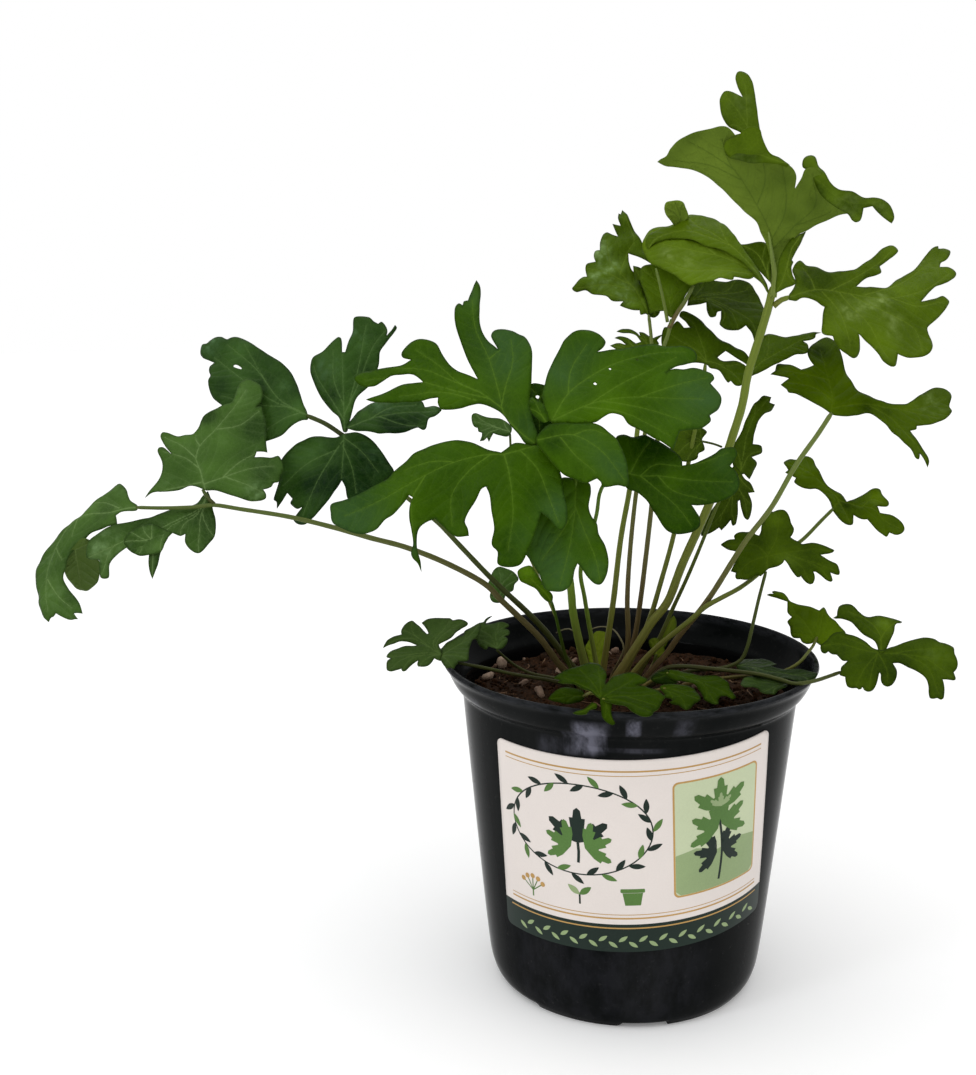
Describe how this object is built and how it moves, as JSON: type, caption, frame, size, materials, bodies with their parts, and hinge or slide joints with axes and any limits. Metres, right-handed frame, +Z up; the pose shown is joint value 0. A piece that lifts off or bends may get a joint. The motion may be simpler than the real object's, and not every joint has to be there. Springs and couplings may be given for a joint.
{
  "type": "potted parsley",
  "caption": "Flat-leaf parsley plant growing in a round black nursery pot with a plain-pictured paper label; stands on its own base.",
  "frame": {"origin": "centre of the pot's flat standing face", "axes": "+Z up along the pot axis, -Y towards the label, +X to the right of the label"},
  "size_m": [0.4007, 0.1709, 0.3963],
  "materials": {
    "pot_plastic": "thin glossy moulded plastic, scuffed lip",
    "growing_mix": "matt crumbly peat with pale grit",
    "label_paper": "printed satin paper",
    "leaf_bluish_green": "satin leaf with pale veins",
    "leaf_deep_green": "satin leaf with pale veins",
    "leaf_mid_green": "satin leaf with pale veins",
    "leaf_young": "satin, yellow green",
    "stem_green": "ribbed, satin",
    "stem_purplish": "ribbed, satin, flushed brown purple"
  },
  "bodies": {
    "root": {"pot": "pot_plastic", "growing_mix": "growing_mix", "label": "label_paper", "left_stem": "stem_purplish", "left_leaf_tip": "leaf_bluish_green", "left_leaf_fan": "leaf_bluish_green", "left_leaf_low": "leaf_bluish_green", "midleft_stem": "stem_purplish", "midleft_leaf_outer": "leaf_bluish_green", "midleft_leaf_top": "leaf_bluish_green", "midleft_leaf_inner": "leaf_bluish_green", "midleft_leaf_low": "leaf_bluish_green", "centre_stem_thick": "stem_green", "centre_stem_thin": "stem_green", "centre_leaf_top_left": "leaf_deep_green", "centre_leaf_top_right": "leaf_deep_green", "centre_leaf_low_left": "leaf_deep_green", "centre_leaf_middle": "leaf_deep_green", "centre_leaf_right": "leaf_deep_green", "centre_leaf_hanging": "leaf_deep_green", "shoot_yellow_green": "leaf_young", "small_leaf_on_left_stem": "leaf_bluish_green", "top_stem": "stem_green", "top_leaf_upright": "leaf_mid_green", "top_leaf_left": "leaf_mid_green", "top_leaf_right": "leaf_mid_green", "back_stem_1": "stem_green", "back_leaf_serrated": "leaf_mid_green", "back_stem_2": "stem_purplish", "back_leaf_blistered": "leaf_mid_green", "back_stem_3": "stem_purplish", "back_leaf_upright": "leaf_mid_green", "back_leaf_shaded": "leaf_mid_green", "back_stem_4": "stem_green", "back_leaf_forked": "leaf_mid_green", "back_leaf_strap": "leaf_mid_green", "back_stem_5": "stem_green", "back_leaf_cut": "leaf_mid_green", "right_upper_stem": "stem_purplish", "right_upper_leaf": "leaf_mid_green", "right_middle_stem": "stem_green", "right_middle_leaf": "leaf_mid_green", "right_inner_stem": "stem_green", "right_inner_leaf": "leaf_mid_green", "right_low_leaf_back": "leaf_mid_green", "right_low_stem": "stem_green", "right_low_leaf_front": "leaf_mid_green", "front_leaf_on_rim": "leaf_mid_green", "front_leaf_small": "leaf_mid_green", "front_leaf_right_back": "leaf_mid_green", "front_leaf_right_front": "leaf_mid_green", "rim_leaf_right_back": "leaf_bluish_green", "rim_leaf_right_front": "leaf_bluish_green", "rim_leaf_left_outer": "leaf_bluish_green", "rim_leaf_left_inner": "leaf_bluish_green", "rim_stem_left_front": "stem_green", "rim_stem_left_back": "stem_green", "young_leaf_1": "leaf_young", "young_leaf_2": "leaf_young", "young_leaf_3": "leaf_young"}
  },
  "joints": []
}
